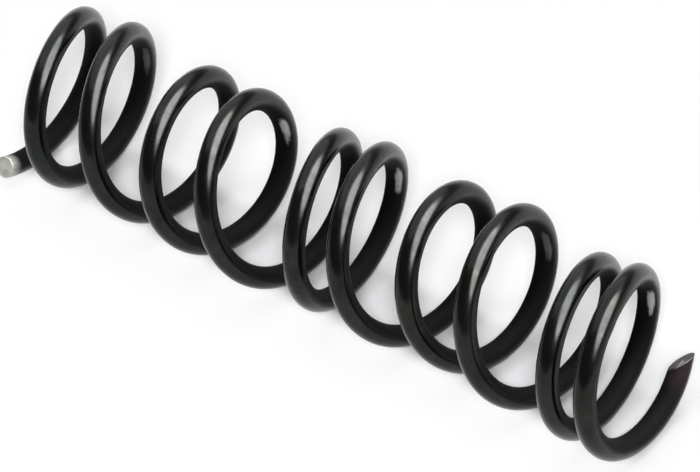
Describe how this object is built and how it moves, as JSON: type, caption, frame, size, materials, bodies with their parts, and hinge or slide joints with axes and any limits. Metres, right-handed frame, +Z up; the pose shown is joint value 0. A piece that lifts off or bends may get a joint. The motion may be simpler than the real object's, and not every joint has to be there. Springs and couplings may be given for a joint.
{
  "type": "lock tumbler spring",
  "caption": "Small black helical compression spring of round wire, unevenly wound with its coils leaning together in pairs, one end drawn out to a flared tail and one end closed up with a slanted cut.",
  "frame": {"origin": "centre of the spring's footprint, at the height of the surface that it lies on", "axes": "+X along the coil axis towards the closed-up end, +Z up as the spring lies on its side"},
  "size_m": [0.008, 0.002, 0.002],
  "materials": {
    "black_wire": "satin"
  },
  "bodies": {
    "root": {"coil_spring": "black_wire"}
  },
  "joints": []
}
